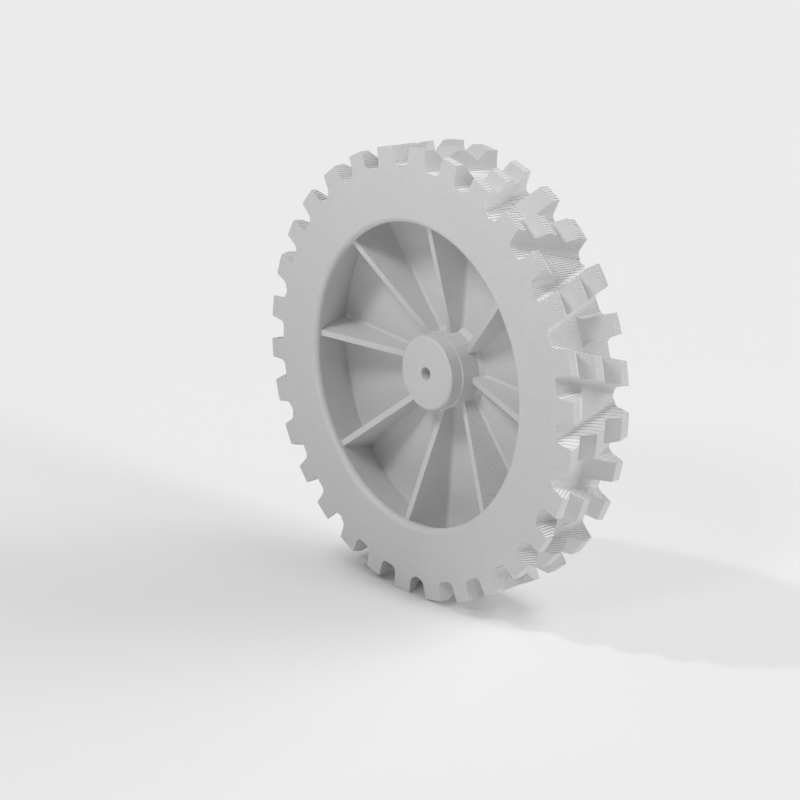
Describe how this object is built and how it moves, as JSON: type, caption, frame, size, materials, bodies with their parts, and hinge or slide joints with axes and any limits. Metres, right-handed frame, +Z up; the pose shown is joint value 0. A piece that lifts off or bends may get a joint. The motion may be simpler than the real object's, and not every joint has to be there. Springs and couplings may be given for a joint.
{
  "type": "robotic mower wheel",
  "caption": "Drive wheel of a robotic lawn mower: lugged chevron tread ring on a ribbed web with a bored hub, printed in one piece.",
  "frame": {"origin": "the wheel's centre, on its axis and halfway between the front and back faces", "axes": "the wheel stands upright and spins about Y; the open, ribbed front face looks towards -Y and the flat back face towards +Y; +Z up"},
  "size_m": [0.2, 0.032, 0.2],
  "materials": {
    "print": "matte, with fine print layers"
  },
  "bodies": {
    "root": {"wheel": "print"}
  },
  "joints": []
}
